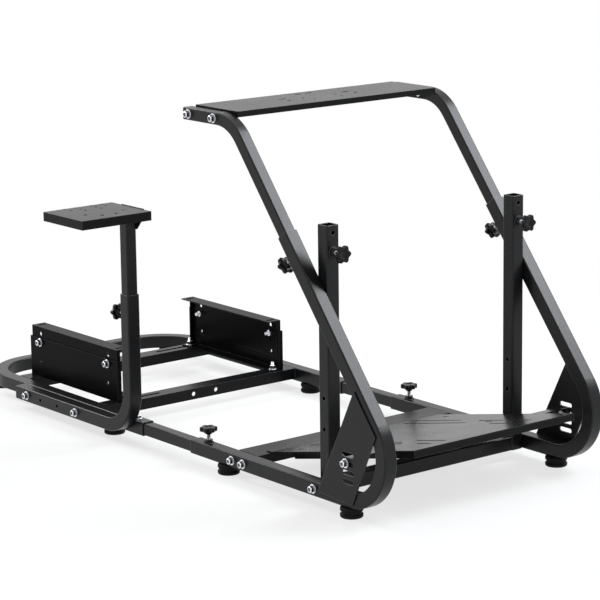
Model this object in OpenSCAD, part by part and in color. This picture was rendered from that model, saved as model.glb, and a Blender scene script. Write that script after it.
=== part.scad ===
// Sim racing cockpit: a bent square tube frame with a telescoping seat base,
// a sliding wheel mount, a pitched pedal plate, two monitor posts and a side
// shifter mount. X points ahead of the driver, Y to the driver's left, Z up.
// The origin is on the floor, below the middle of the whole cockpit.

/* [Tubes and sheet] */
// Outside width of the square frame tube
tube = 30; // [28:0.5:34]
// Wall thickness of the frame tube and of the sliding tube
wall = 2; // [1.5:0.1:2.5]
// Outside corner radius of the tubes
corner_r = 3; // [1.5:0.5:4]
// Free space on each side between a sliding tube and its sleeve
slide_gap = 0.3; // [0.2:0.05:0.5]
// Thickness of the folded sheet parts
sheet = 2.5; // [2:0.5:4]

/* [Floor and width] */
// Overall width over the two side tubes
frame_w = 578; // [540:2:640]
// Height of the rubber feet
foot_h = 21; // [16:1:30]
// Diameter of the rubber feet
foot_d = 46; // [36:1:54]

/* [Front frame] */
// Lower rail, from its open rear end to the start of the front bend
front_rail_len = 518; // [440:2:600]
// Centreline radius of the front bend
front_bend_r = 96; // [80:2:120]
// Angle between the raked sleeve and the floor
rake = 51; // [45:1:60]
// Straight length of the raked sleeve above the bend
sleeve_len = 434; // [360:2:500]
// Distance from the bend back to the monitor posts
post_back = 109; // [100:1:130]
// Length of a monitor post
post_len = 537; // [400:1:650]
// Depth of the heel cross channel, front to back
heel_w = 64; // [50:1:80]
// Height of the heel cross channel
heel_h = 20; // [15:1:26]
// Distance from the bend back to the front face of the heel channel
heel_back = 324; // [300:1:340]

/* [Gussets] */
// Thickness of the gusset plates
gusset_t = 3; // [2:0.5:4]
// Reach of a gusset back along the rail from the bend
gusset_back = 91; // [80:1:110]
// Reach of a gusset up the raked sleeve
gusset_up = 84; // [60:1:110]
// Length of the height slots in a gusset
height_slot_len = 35; // [28:1:40]
// Distance between the height slots
height_slot_pitch = 18; // [16:0.5:19]

/* [Pedal plate] */
// Pitch of the pedal plate above the floor
pedal_pitch = 12; // [10:0.5:14]
// Length of the pitched part of the pedal plate
pedal_len = 438; // [420:1:450]
// Width of the pedal plate at the heel
pedal_w_rear = 450; // [430:1:460]
// Width of the pedal plate at the front
pedal_w_front = 424; // [410:1:450]
// Depth of the lips folded down round the pedal plate
pedal_lip = 15; // [12:1:18]
// Width of the slots for the pedals
pedal_slot_w = 7; // [6:0.5:9]

/* [Wheel mount] */
// Length of arm that shows between the sleeve and the upper bend
arm_out = 221; // [180:1:300]
// Length of arm inside the sleeve
arm_in = 200; // [160:5:220]
// Centreline radius of the upper bend
arm_bend_r = 92; // [70:2:110]
// Level run of the arm behind the upper bend
arm_run = 111; // [100:1:140]
// Depth of the wheel plate, front to back
wheel_plate_d = 142; // [130:1:150]
// Height of the wheel plate above the arms
wheel_plate_rise = 3.5; // [0:0.5:5]
// Depth of the front lip of the wheel plate
wheel_lip = 12; // [10:1:20]

/* [Seat base] */
// Length of the seat base, from its sleeves to the rear bar
base_len = 695; // [640:5:760]
// Centreline radius of the rear corners
corner_bend_r = 125; // [100:5:150]
// Gap between the seat base and the front rails
base_gap = 175; // [150:5:235]
// Length of inner rail inside the front rail
rail_in = 100; // [90:1:105]
// Length of inner rail inside the seat base
rail_hold = 120; // [80:5:160]
// Depth of a seat channel, front to back
channel_w = 40; // [36:1:50]
// Height of a seat channel
channel_h = 25; // [20:1:28]
// Rear bar's outer face to the middle of the rear seat channel
rear_channel_at = 182; // [170:1:200]
// Distance between the two seat channels
channel_pitch = 326; // [300:1:340]

/* [Seat brackets] */
// Distance between the outer faces of the two seat brackets
bracket_spread = 462; // [400:2:470]
// Length of a lower bracket
bracket_len = 352; // [346:1:380]
// Height of a lower bracket
bracket_low_h = 92; // [80:1:110]
// Height of an upper bracket
bracket_top_h = 88; // [70:1:100]
// Height of the top of the upper bracket above the channels
bracket_rise = 117; // [112:1:130]
// Width of the bracket flanges
bracket_flange = 34; // [32:1:38]
// Depth of the folded ends of the brackets
bracket_return = 11; // [8:1:14]
// Distance between the two rows of bracket bolts
bracket_bolt_pitch = 273; // [250:1:290]

/* [Shifter mount] */
// Level leg of the shifter tube, from its rear end to the bend
shifter_leg = 366; // [330:1:400]
// Distance from the sleeve end of the seat base back to the shifter post
shifter_back = 12; // [10:1:30]
// Centreline radius of the shifter tube's bend
shifter_bend_r = 80; // [70:1:100]
// Straight height of the shifter sleeve above the bend
shifter_sleeve = 217; // [180:1:240]
// Length of inner post that shows above the sleeve
shifter_out = 183; // [160:1:240]
// Length of inner post inside the sleeve
shifter_in = 110; // [90:1:115]
// Depth of the shifter plate, front to back
shifter_plate_d = 146; // [130:1:170]
// Width of the shifter plate
shifter_plate_w = 172; // [150:1:200]
// Depth of the lips of the shifter plate
shifter_lip = 18; // [14:1:22]

/* [Knobs and bolts] */
// Diameter over the lobes of a star knob
knob_d = 37; // [32:1:42]
// Height of the head of a star knob
knob_head_h = 12; // [10:1:15]
// Number of lobes on a star knob
knob_lobes = 6; // [5:1:8]
// Length of the neck between the weld nut and the knob
knob_neck = 15; // [12:1:20]
// Distance from a sleeve's open end to its knob
knob_inset = 45; // [40:1:60]
// Diameter of the bolts
bolt_d = 8; // [6:1:10]
// Clearance round a bolt in its hole, on the radius
bolt_gap = 0.4; // [0.3:0.05:0.6]

/* [Hidden] */
// Fineness of small and large curves
small_fn = 24;
round_fn = 48;
bend_fn = 96;
// A bend swells the tube wall a little, and runs a little over the straights
bend_swell = 0.05;
bend_lap = 0.5;

// Fastener sizes that follow the bolt
washer_d = bolt_d * 2.4;
washer_t = 1.6;
head_h = 5.3;
head_d = bolt_d * 1.85;
nut_h = 6.5;
hole_d = bolt_d + 2 * bolt_gap;
weld_nut_d = bolt_d * 2.2;
weld_nut_h = 7;

// Tube sizes that follow from each other
half_tube = tube / 2;
slide_tube = tube - 2 * wall - 2 * slide_gap;
half_slide = slide_tube / 2;
slide_corner_r = corner_r - 0.5;
half_w = frame_w / 2;
gusset_y = half_w + bend_swell;
rail_y = half_w - half_tube;
rail_z = foot_h + half_tube;
rail_top = foot_h + tube;

// Stations along the cockpit
total_len = front_rail_len + front_bend_r + half_tube + base_gap + base_len;
bend_x = total_len / 2 - front_bend_r - half_tube;
rail_end_x = bend_x - front_rail_len;
base_end_x = rail_end_x - base_gap;
rear_x = -total_len / 2;
post_x = bend_x - post_back;
heel_front_x = bend_x - heel_back;
heel_x = heel_front_x - heel_w / 2;
rear_channel_x = rear_x + rear_channel_at;
front_channel_x = rear_channel_x + channel_pitch;
bracket_x = (rear_channel_x + front_channel_x) / 2 - 2;
channel_lip = 10;
channel_slot_len = 125;
channel_slot_y = 172;
channel_hole_d = 10;
channel_hole_y = 31;
base_foot_ahead = 59;

// The raked sleeve starts where the front bend ends
bend_turn = 180 - rake;
sleeve_x0 = bend_x + front_bend_r * sin(rake);
sleeve_z0 = rail_z + front_bend_r + front_bend_r * cos(rake);
function up_rake(s) = [sleeve_x0 - s * cos(rake), 0, sleeve_z0 + s * sin(rake)];

// The wheel arm leaves the sleeve, bends level and runs back to the driver
arm_bend_s = sleeve_len + arm_out;
arm_cut = arm_bend_r * tan(rake / 2);
arm_corner = up_rake(arm_bend_s + arm_cut);
arm_z = arm_corner[2];
arm_bend_x = arm_corner[0] - arm_cut;
arm_end_x = arm_bend_x - arm_run;
arm_face_y = rail_y - half_slide - bend_swell;
wheel_plate_x = arm_end_x + 9;
wheel_top = arm_z + half_slide + wheel_plate_rise;
wheel_bolt_x = [arm_end_x + 18, arm_end_x + 102];
wheel_flange_len = 101;
wheel_flange_bottom = arm_z - half_slide + 2;

// Monitor posts stand inside the rails
post_y = half_w - tube - half_tube;
post_hole_drop = [344, 407];
post_top = foot_h + post_len;

// The pedal plate folds up at the front edge of the heel channel
heel_bolt_x = [heel_x - 19, heel_x + 18];
pedal_lap = 15;
fold_back = sheet * tan(pedal_pitch / 2);
lip_inset = 0.2;
pedal_bracket_u = [306, 346];
pedal_bracket_drop = 20;
pedal_lip_start = 60;
pedal_slot_rows = [
    [98, 310, 400], [134, 355, 398], [120, 272, 294], [136, 235, 312], [110, 22, 225],
    [144, 22, 172], [196, 52, 72]
];
pedal_bolt_u = 325;
pedal_bolt_drop = 10;
pedal_bolt_x = heel_front_x + pedal_bolt_u * cos(pedal_pitch) + pedal_bolt_drop * sin(pedal_pitch);
pedal_bolt_z = rail_top + sheet + pedal_bolt_u * sin(pedal_pitch) - pedal_bolt_drop * cos(pedal_pitch);
height_slot_x = pedal_bolt_x + 7;
height_slot_count = 4;
function pedal_half(u) = (pedal_w_rear + (pedal_w_front - pedal_w_rear) * u / pedal_len) / 2;

// The shifter tube is bolted to the outside of the right rail
shifter_y = -(half_w + half_tube + bend_swell);
shifter_x = base_end_x - shifter_back;
shifter_bend_x = shifter_x - shifter_bend_r;
shifter_rear_x = shifter_bend_x - shifter_leg;
shifter_sleeve_top = rail_z + shifter_bend_r + shifter_sleeve;
shifter_top = shifter_sleeve_top + shifter_out;
shifter_bolt_x = [shifter_rear_x + 45, shifter_rear_x + 243];
shifter_spare_x = [shifter_rear_x + 102, shifter_rear_x + 170];
shifter_in_y = shifter_y + half_slide;
shifter_out_y = shifter_in_y - shifter_plate_w;
inner_rail_bolt_x = base_end_x - 36;
shifter_bracket_top = shifter_top + sheet + 1;
shifter_bolt_z = shifter_bracket_top - 32;

// The whole cockpit is centred over its origin
left_reach = gusset_y + gusset_t + washer_t + head_h;
side_shift = (-shifter_out_y - left_reach) / 2;

// Shared shapes

module place() {
    translate([0, side_shift, 0]) children();
}

module both_sides() {
    children();
    mirror([0, 1, 0]) children();
}

module round_square(size, r) {
    square([size, size - 2 * r], center = true);
    square([size - 2 * r, size], center = true);
    for (x = [-1, 1], y = [-1, 1])
        translate([x, y] * (size / 2 - r)) circle(r, $fn = small_fn);
}

module tube_section(size, r, thick = wall) {
    difference() {
        round_square(size, r);
        square(size - 2 * thick, center = true);
    }
}

module straight_tube(length, size = tube, r = corner_r) {
    rotate([90, 0, 90]) linear_extrude(length) tube_section(size, r);
}

module post_tube(length, size = tube, r = corner_r) {
    linear_extrude(length) tube_section(size, r);
}

// A tube bent once in the XZ plane, with a straight length before and after
// the bend; the origin is the centre of the bend, and a negative turn bends
// the other way
module bent_tube(bend_r, from, turn, before, after, size = tube, r = corner_r) {
    rotate([90, 0, 0]) rotate([0, 0, from]) mirror([0, turn < 0 ? 1 : 0, 0]) {
        rotate_extrude(angle = abs(turn), $fn = bend_fn)
            translate([bend_r, 0])
                tube_section(size + 2 * bend_swell, r + bend_swell, wall + 2 * bend_swell);
        translate([bend_r, bend_lap, 0]) rotate([90, 0, 0])
            linear_extrude(before + bend_lap) tube_section(size, r);
        rotate([0, 0, abs(turn)]) translate([bend_r, -bend_lap, 0]) rotate([-90, 0, 0])
            linear_extrude(after + bend_lap) tube_section(size, r);
    }
}

// A bend that lies flat on the floor plane
module flat_bend(bend_r, from, turn, size = tube, r = corner_r) {
    rotate([0, 0, from])
        rotate_extrude(angle = turn, $fn = bend_fn)
            translate([bend_r, 0]) tube_section(size, r);
}

module cross_hole(d, depth) {
    rotate([90, 0, 0]) cylinder(d = d, h = depth, center = true, $fn = small_fn);
}

// A slot along X, cut through a sheet that lies flat
module slot_cut(length, width, depth) {
    hull_len = length - width;
    translate([-hull_len / 2, -width / 2, -depth / 2]) cube([hull_len, width, depth]);
    for (x = [-1, 1])
        translate([x * hull_len / 2, 0, 0])
            cylinder(d = width, h = depth, center = true, $fn = small_fn);
}

// A hex bolt along Z: head at the top, its washer on z = 0, shank going down
module hex_bolt(grip, with_nut = true) {
    difference() {
        cylinder(d = washer_d, h = washer_t, $fn = round_fn);
        translate([0, 0, -1]) cylinder(d = bolt_d, h = washer_t + 2, $fn = small_fn);
    }
    translate([0, 0, washer_t]) cylinder(d = head_d, h = head_h, $fn = 6);
    shank = grip + (with_nut ? nut_h + washer_t + 1 : 0);
    translate([0, 0, -shank]) cylinder(d = bolt_d, h = shank + washer_t, $fn = small_fn);
    if (with_nut)
        translate([0, 0, -grip - nut_h]) cylinder(d = head_d, h = nut_h, $fn = 6);
}

module weld_nut() {
    difference() {
        cylinder(d = weld_nut_d, h = weld_nut_h, $fn = round_fn);
        translate([0, 0, -1]) cylinder(d = hole_d, h = weld_nut_h + 2, $fn = small_fn);
    }
}

// A star knob along Z, with z = 0 at the face of the tube that carries it
module star_knob(reach) {
    neck_top = weld_nut_h + knob_neck;
    lobe_d = knob_d * 0.28;
    ring_r = knob_d / 2 - lobe_d / 2;
    translate([0, 0, -reach])
        cylinder(d = bolt_d, h = reach + neck_top, $fn = small_fn);
    translate([0, 0, neck_top - knob_neck * 0.45])
        cylinder(d1 = knob_d * 0.38, d2 = knob_d * 0.62, h = knob_neck * 0.45, $fn = round_fn);
    translate([0, 0, neck_top]) difference() {
        union() {
            cylinder(r = ring_r, h = knob_head_h, $fn = round_fn);
            for (i = [0:knob_lobes - 1])
                rotate([0, 0, i * 360 / knob_lobes]) translate([ring_r, 0, 0])
                    cylinder(d = lobe_d, h = knob_head_h, $fn = small_fn);
        }
        translate([0, 0, knob_head_h - 2])
            cylinder(d = knob_d * 0.4, h = 3, $fn = round_fn);
    }
}

module foot() {
    groove = foot_d / 2 - 2.5;
    rim = foot_d / 2;
    rotate_extrude($fn = round_fn) polygon([
        [0, 0], [rim - 2, 0], [rim, 2], [rim, foot_h * 0.34],
        [groove, foot_h * 0.42], [groove, foot_h * 0.58],
        [rim, foot_h * 0.66], [rim, foot_h - 2], [rim - 2, foot_h], [0, foot_h]
    ]);
}

// Front frame

module side_tube() {
    difference() {
        translate([bend_x, -rail_y, rail_z + front_bend_r])
            bent_tube(front_bend_r, -90, bend_turn, front_rail_len, sleeve_len);
        for (x = heel_bolt_x)
            translate([x, -rail_y, rail_z]) cross_hole(hole_d, 2 * tube);
        translate([post_x, -rail_y, rail_z]) cross_hole(hole_d, 2 * tube);
        translate([rail_end_x + knob_inset, -rail_y, rail_z])
            cylinder(d = hole_d, h = tube, $fn = small_fn);
        translate([0, -rail_y, 0]) translate(up_rake(sleeve_len - knob_inset))
            rotate([0, -bend_turn, 0]) cylinder(d = hole_d, h = tube, $fn = small_fn);
    }
}

module right_side_tube() {
    color("#1d1e20") place() side_tube();
}

module left_side_tube() {
    color("#1d1e20") place() mirror([0, 1, 0]) side_tube();
}

module gusset() {
    sleeve_hit = up_rake(gusset_up);
    bend_hit = up_rake(-16);
    translate([0, -gusset_y, 0]) rotate([90, 0, 0]) linear_extrude(gusset_t) difference() {
        polygon([
            [bend_x - gusset_back, rail_z], [bend_x + half_tube, foot_h + 9],
            [bend_hit[0], bend_hit[2]], [sleeve_hit[0], sleeve_hit[2]]
        ]);
        for (i = [0:height_slot_count - 1])
            translate([height_slot_x, pedal_bolt_z + (1 - i) * height_slot_pitch])
                slot_outline(height_slot_len, hole_d + 0.6);
    }
}

module slot_outline(length, width) {
    square([length - width, width], center = true);
    for (x = [-1, 1])
        translate([x * (length - width) / 2, 0]) circle(d = width, $fn = small_fn);
}

module right_gusset() {
    color("#1d1e20") place() gusset();
}

module left_gusset() {
    color("#1d1e20") place() mirror([0, 1, 0]) gusset();
}

module monitor_post() {
    difference() {
        translate([post_x, -post_y, foot_h]) post_tube(post_len);
        translate([post_x, -post_y, rail_z]) cross_hole(hole_d, 2 * tube);
        for (drop = post_hole_drop)
            translate([post_x, -post_y, post_top - drop]) cross_hole(hole_d, 2 * tube);
        translate([post_x, -post_y, post_top - knob_inset - 8]) rotate([0, 90, 0])
            cylinder(d = hole_d, h = tube, $fn = small_fn);
        translate([post_x, -post_y, post_top - 15]) rotate([0, 90, 0])
            cylinder(d = hole_d, h = tube, $fn = small_fn);
    }
}

module right_monitor_post() {
    color("#1d1e20") place() monitor_post();
}

module left_monitor_post() {
    color("#1d1e20") place() mirror([0, 1, 0]) monitor_post();
}

module front_cross_tube() {
    span = 2 * (post_y - half_tube);
    color("#1d1e20") place()
        translate([post_x, -span / 2, rail_z]) rotate([0, 0, 90]) straight_tube(span);
}

module heel_cross_channel() {
    span = 2 * (half_w - tube);
    color("#1d1e20") place() difference() {
        translate([heel_x - heel_w / 2, -span / 2, rail_top - heel_h]) cube([heel_w, span, heel_h]);
        translate([heel_x - heel_w / 2 + sheet, -span / 2 + sheet, rail_top - heel_h - 1])
            cube([heel_w - 2 * sheet, span - 2 * sheet, heel_h - sheet + 1]);
        for (x = heel_bolt_x)
            translate([x, 0, rail_z]) cross_hole(hole_d, span + 2);
    }
}

// Pedal plate and its side brackets, drawn in the plate's own pitched frame

module pitched() {
    translate([heel_front_x, 0, rail_top + sheet]) rotate([0, -pedal_pitch, 0]) children();
}

// Each row gives the slots' distance from the middle, and where they start and end
module pedal_slots() {
    for (row = pedal_slot_rows, s = [-1, 1])
        translate([(row[1] + row[2]) / 2, s * row[0]])
            slot_outline(row[2] - row[1], pedal_slot_w);
}

module pedal_plate() {
    rise = sin(pedal_pitch);
    run = cos(pedal_pitch);
    color("#242527") place() {
        difference() {
            translate([heel_front_x, pedal_w_rear / 2, rail_top]) rotate([90, 0, 0])
                linear_extrude(pedal_w_rear) polygon([
                    [-pedal_lap, 0], [fold_back, 0],
                    [pedal_len * run + sheet * rise, sheet + pedal_len * rise - sheet * run],
                    [pedal_len * run, sheet + pedal_len * rise], [0, sheet], [-pedal_lap, sheet]
                ]);
            pitched() {
                both_sides() translate([0, 0, -3 * sheet]) linear_extrude(6 * sheet) polygon([
                    [-tube, -pedal_half(-tube)], [pedal_len + tube, -pedal_half(pedal_len + tube)],
                    [pedal_len + tube, -pedal_w_rear], [-tube, -pedal_w_rear]
                ]);
                translate([0, 0, -3 * sheet]) linear_extrude(6 * sheet) pedal_slots();
            }
        }
        pitched() {
            translate([pedal_len - sheet - lip_inset, 2 * lip_inset - pedal_w_front / 2,
                lip_inset - pedal_lip])
                cube([sheet, pedal_w_front - 4 * lip_inset, pedal_lip - sheet * 0.6]);
            both_sides() pedal_side_lip();
        }
    }
}

module pedal_side_lip() {
    edge_turn = atan((pedal_w_rear - pedal_w_front) / 2 / pedal_len);
    edge_len = pedal_len / cos(edge_turn) - lip_inset - sheet / 2;
    lip_start = pedal_lip_start;
    translate([0, lip_inset - pedal_w_rear / 2, 0]) rotate([0, 0, edge_turn])
        translate([0, sheet, 0]) rotate([90, 0, 0]) linear_extrude(sheet) polygon([
            [lip_start, -sheet / 2], [edge_len, -sheet / 2], [edge_len, -pedal_lip],
            [lip_start + pedal_lip, -pedal_lip]
        ]);
}

module pedal_bracket() {
    length = pedal_bracket_u[1] - pedal_bracket_u[0];
    drop = pedal_bracket_drop;
    pitched() difference() {
        union() {
            translate([0, 0, -sheet]) linear_extrude(sheet) polygon([
                [pedal_bracket_u[0], -half_w], [pedal_bracket_u[1], -half_w],
                [pedal_bracket_u[1], -pedal_half(pedal_bracket_u[1])],
                [pedal_bracket_u[0], -pedal_half(pedal_bracket_u[0])]
            ]);
            translate([pedal_bracket_u[0], -half_w, -drop]) cube([length, sheet, drop]);
        }
        translate([pedal_bolt_u, -half_w, -pedal_bolt_drop]) cross_hole(hole_d, 3 * sheet);
    }
}

module right_pedal_bracket() {
    color("#242527") place() pedal_bracket();
}

module left_pedal_bracket() {
    color("#242527") place() mirror([0, 1, 0]) pedal_bracket();
}

module front_frame_feet() {
    color("#0c0c0d") place() both_sides()
        for (x = [rail_end_x + 113, bend_x - 8])
            translate([x, -rail_y, 0]) foot();
}

module front_frame_bolts() {
    color("silver") place() both_sides() {
        for (x = heel_bolt_x)
            translate([x, -half_w, rail_z]) rotate([90, 0, 0]) hex_bolt(tube + sheet);
        translate([post_x, -half_w, rail_z]) rotate([90, 0, 0]) hex_bolt(2 * tube);
        translate([pedal_bolt_x, -gusset_y - gusset_t, pedal_bolt_z]) rotate([90, 0, 0])
            hex_bolt(gusset_t + bend_swell + sheet);
    }
}

module front_weld_nuts() {
    color("#1d1e20") place() both_sides() {
        translate([rail_end_x + knob_inset, -rail_y, rail_top]) weld_nut();
        translate([0, -rail_y, 0]) translate(up_rake(sleeve_len - knob_inset))
            rotate([0, -bend_turn, 0]) translate([0, 0, half_tube]) weld_nut();
        translate([post_x + half_tube, -post_y, post_top - knob_inset - 8])
            rotate([0, 90, 0]) weld_nut();
    }
}

// Seat base

module seat_base_tube() {
    bend_y = rail_y - corner_bend_r;
    corner_x = rear_x + half_tube + corner_bend_r;
    color("#1d1e20") place() difference() {
        union() {
            both_sides() {
                translate([corner_x, -rail_y, rail_z]) straight_tube(base_end_x - corner_x);
                translate([corner_x, -bend_y, rail_z]) flat_bend(corner_bend_r, 180, 90);
            }
            translate([rear_x + half_tube, -bend_y, rail_z])
                rotate([0, 0, 90]) straight_tube(2 * bend_y);
        }
        for (x = shifter_bolt_x)
            translate([x, -rail_y, rail_z]) cross_hole(hole_d, 2 * tube);
        for (s = [-1, 1])
            translate([inner_rail_bolt_x, s * rail_y, rail_z])
                cylinder(d = hole_d, h = tube, $fn = small_fn);
    }
}

module inner_rail() {
    difference() {
        translate([base_end_x - rail_hold, -rail_y, rail_z])
            straight_tube(rail_hold + base_gap + rail_in, slide_tube, slide_corner_r);
        translate([inner_rail_bolt_x, -rail_y, rail_z])
            cylinder(d = hole_d, h = tube, $fn = small_fn);
    }
}

module right_inner_rail() {
    color("#1d1e20") place() inner_rail();
}

module left_inner_rail() {
    color("#1d1e20") place() mirror([0, 1, 0]) inner_rail();
}

// A top, a full front flange with two holes and a short rear flange
module seat_channel() {
    span = 2 * (half_w - tube);
    difference() {
        translate([-channel_w / 2, -span / 2, -channel_h]) cube([channel_w, span, channel_h]);
        translate([-channel_w / 2 + sheet, -span / 2 - 1, -channel_h - 1])
            cube([channel_w - 2 * sheet, span + 2, channel_h - sheet + 1]);
        translate([-channel_w / 2 - 1, -span / 2 - 1, -channel_h - 1])
            cube([sheet + 2, span + 2, channel_h - channel_lip + 1]);
        for (s = [-1, 1]) {
            translate([0, s * channel_slot_y, 0]) rotate([0, 0, 90])
                slot_cut(channel_slot_len, hole_d + 1, 3 * sheet);
            translate([channel_w / 2, s * channel_hole_y, -channel_h / 2]) rotate([0, 90, 0])
                cylinder(d = channel_hole_d, h = 3 * sheet, center = true, $fn = small_fn);
        }
    }
}

module rear_seat_channel() {
    color("#242527") place() translate([rear_channel_x, 0, rail_top]) seat_channel();
}

module front_seat_channel() {
    color("#242527") place() translate([front_channel_x, 0, rail_top]) seat_channel();
}

bracket_y = bracket_spread / 2;
bracket_row_x = [-bracket_bolt_pitch / 2, bracket_bolt_pitch / 2];
bracket_bolt_in = 22;
bracket_bolt_y = bracket_y - bracket_bolt_in;
bracket_bolt_z = 81;
bracket_low_hole_z = 38;
bracket_high_hole_z = 101;
bracket_slot_drop = 15;
bracket_hole_d = 9.6;

module bracket_holes(heights) {
    for (x = bracket_row_x) {
        translate([x, 0, bracket_bolt_z]) cross_hole(hole_d, 40);
        for (z = heights)
            translate([x, 0, z]) cross_hole(bracket_hole_d, 40);
    }
}

// Drawn for the right side, standing on the channels
module bracket_lower() {
    translate([bracket_x, -bracket_y, rail_top]) difference() {
        union() {
            translate([-bracket_len / 2, 0, 0]) cube([bracket_len, sheet, bracket_low_h]);
            translate([-bracket_len / 2, 0, 0]) cube([bracket_len, bracket_flange, sheet]);
            for (x = [-bracket_len / 2, bracket_len / 2 - sheet])
                translate([x, 0, 0]) cube([sheet, bracket_return, bracket_low_h]);
        }
        bracket_holes([bracket_low_hole_z]);
        for (x = [rear_channel_x, front_channel_x])
            translate([x - bracket_x, bracket_y - bracket_bolt_y, 0])
                cylinder(d = hole_d, h = 3 * sheet, center = true, $fn = small_fn);
    }
}

module bracket_upper() {
    length = bracket_len - 2 * sheet - 4;
    base = bracket_rise - bracket_top_h;
    translate([bracket_x, -bracket_y + sheet, rail_top]) difference() {
        union() {
            translate([-length / 2, 0, base]) cube([length, sheet, bracket_top_h]);
            translate([-length / 2, 0, bracket_rise - sheet])
                cube([length, bracket_flange, sheet]);
            for (x = [-length / 2, length / 2 - sheet])
                translate([x, 0, base]) cube([sheet, bracket_return - 1, bracket_top_h]);
        }
        bracket_holes([bracket_low_hole_z, bracket_high_hole_z]);
        for (x = bracket_row_x)
            translate([x, 0, bracket_bolt_z - bracket_slot_drop]) rotate([90, 90, 0])
                slot_cut(14, 4.5, 40);
        for (s = [-1, 1])
            translate([s * (length / 2 - 15), bracket_flange / 2 + 1, bracket_rise])
                rotate([0, 0, 90]) slot_cut(22, hole_d, 3 * sheet);
    }
}

module right_bracket_lower() {
    color("#242527") place() bracket_lower();
}

module right_bracket_upper() {
    color("#242527") place() bracket_upper();
}

module left_bracket_lower() {
    color("#242527") place() mirror([0, 1, 0]) bracket_lower();
}

module left_bracket_upper() {
    color("#242527") place() mirror([0, 1, 0]) bracket_upper();
}

module seat_base_feet() {
    corner_x = rear_x + half_tube + corner_bend_r;
    bend_y = rail_y - corner_bend_r;
    color("#0c0c0d") place() both_sides() {
        translate([front_channel_x + base_foot_ahead, -rail_y, 0]) foot();
        translate([corner_x - corner_bend_r * cos(45), -bend_y - corner_bend_r * sin(45), 0]) foot();
    }
}

module seat_base_bolts() {
    color("silver") place() {
        for (x = shifter_bolt_x)
            translate([x, shifter_y - half_tube, rail_z]) rotate([90, 0, 0])
                hex_bolt(2 * tube + bend_swell);
        for (s = [-1, 1])
            translate([inner_rail_bolt_x, s * rail_y, rail_top]) hex_bolt(2 * wall + slide_gap + 1, false);
    }
}

module bracket_bolts() {
    color("silver") place() both_sides() {
        for (x = bracket_row_x)
            translate([bracket_x + x, -bracket_y, rail_top + bracket_bolt_z])
                rotate([90, 0, 0]) hex_bolt(2 * sheet);
        for (x = [rear_channel_x, front_channel_x])
            translate([x, -bracket_bolt_y, rail_top + sheet]) hex_bolt(2 * sheet);
    }
}

// Shifter mount

module shifter_tube() {
    color("#1d1e20") place() difference() {
        translate([shifter_bend_x, shifter_y, rail_z + shifter_bend_r])
            bent_tube(shifter_bend_r, -90, 90, shifter_leg, shifter_sleeve);
        for (x = concat(shifter_bolt_x, shifter_spare_x))
            translate([x, shifter_y, rail_z]) cross_hole(hole_d, 2 * tube);
        translate([shifter_x, shifter_y, shifter_sleeve_top - knob_inset])
            rotate([0, -90, 0]) cylinder(d = hole_d, h = tube, $fn = small_fn);
    }
}

module shifter_weld_nut() {
    color("#1d1e20") place()
        translate([shifter_x - half_tube, shifter_y, shifter_sleeve_top - knob_inset])
            rotate([0, -90, 0]) weld_nut();
}

module shifter_post() {
    color("#1d1e20") place() difference() {
        translate([shifter_x, shifter_y, shifter_sleeve_top - shifter_in])
            post_tube(shifter_in + shifter_out, slide_tube, slide_corner_r);
        translate([shifter_x, shifter_in_y, shifter_bolt_z]) cross_hole(hole_d, 4 * wall);
    }
}

module shifter_plate_holes() {
    for (x = [-67, -48, -29], y = [-10, 29])
        translate([x, y]) circle(d = 7, $fn = small_fn);
    for (p = [[-67, -38], [-46, -35], [-67, 57], [-46, 53], [20, 52]])
        translate(p) circle(d = 7, $fn = small_fn);
    for (p = [[16, -40], [41, -15], [43, 18]])
        translate(p) circle(d = 9, $fn = small_fn);
}

module shifter_plate() {
    plate_x = shifter_x - 3;
    color("#242527") place() translate([plate_x, shifter_in_y - shifter_plate_w / 2, shifter_top]) {
        linear_extrude(sheet) difference() {
            square([shifter_plate_d, shifter_plate_w], center = true);
            shifter_plate_holes();
        }
        for (s = [-1, 1])
            translate([s * (shifter_plate_d / 2 - sheet / 2), 0, (sheet - shifter_lip) / 2])
                cube([sheet, shifter_plate_w, shifter_lip], center = true);
        translate([0, -shifter_plate_w / 2 + sheet / 2, (sheet - shifter_lip) / 2])
            cube([shifter_plate_d, sheet, shifter_lip], center = true);
    }
}

module shifter_side_bracket() {
    top = shifter_bracket_top;
    color("#242527") place() translate([shifter_x, shifter_in_y, 0]) rotate([90, 0, 0])
        mirror([0, 0, 1]) linear_extrude(sheet) difference() {
            polygon([
                [-40, top], [40, top], [40, top - 18], [14, top - 47], [-14, top - 47], [-40, top - 18]
            ]);
            translate([0, shifter_bolt_z]) circle(d = hole_d, $fn = small_fn);
        }
}

module shifter_bolts() {
    color("silver") place()
        translate([shifter_x, shifter_in_y + sheet, shifter_bolt_z]) rotate([-90, 0, 0])
            hex_bolt(wall + sheet, false);
}

// Wheel mount

module wheel_arm() {
    difference() {
        translate([arm_bend_x, -rail_y, arm_z - arm_bend_r])
            bent_tube(arm_bend_r, 90, -rake, arm_run, arm_in + arm_out,
                slide_tube, slide_corner_r);
        for (x = wheel_bolt_x)
            translate([x, -rail_y, arm_z]) cross_hole(hole_d, 2 * tube);
    }
}

module right_wheel_arm() {
    color("#1d1e20") place() wheel_arm();
}

module left_wheel_arm() {
    color("#1d1e20") place() mirror([0, 1, 0]) wheel_arm();
}

module wheel_plate_cuts() {
    for (s = [-1, 1]) {
        translate([86, s * 88]) slot_outline(9, 8.9);
        translate([58, s * 84]) rotate([0, 0, 90]) slot_outline(20, 7);
        translate([74, s * 43]) circle(d = 7, $fn = small_fn);
        translate([104, s * 36]) circle(d = 7, $fn = small_fn);
        translate([22, s * 14]) rotate([0, 0, 90]) slot_outline(16, 7);
    }
}

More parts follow.
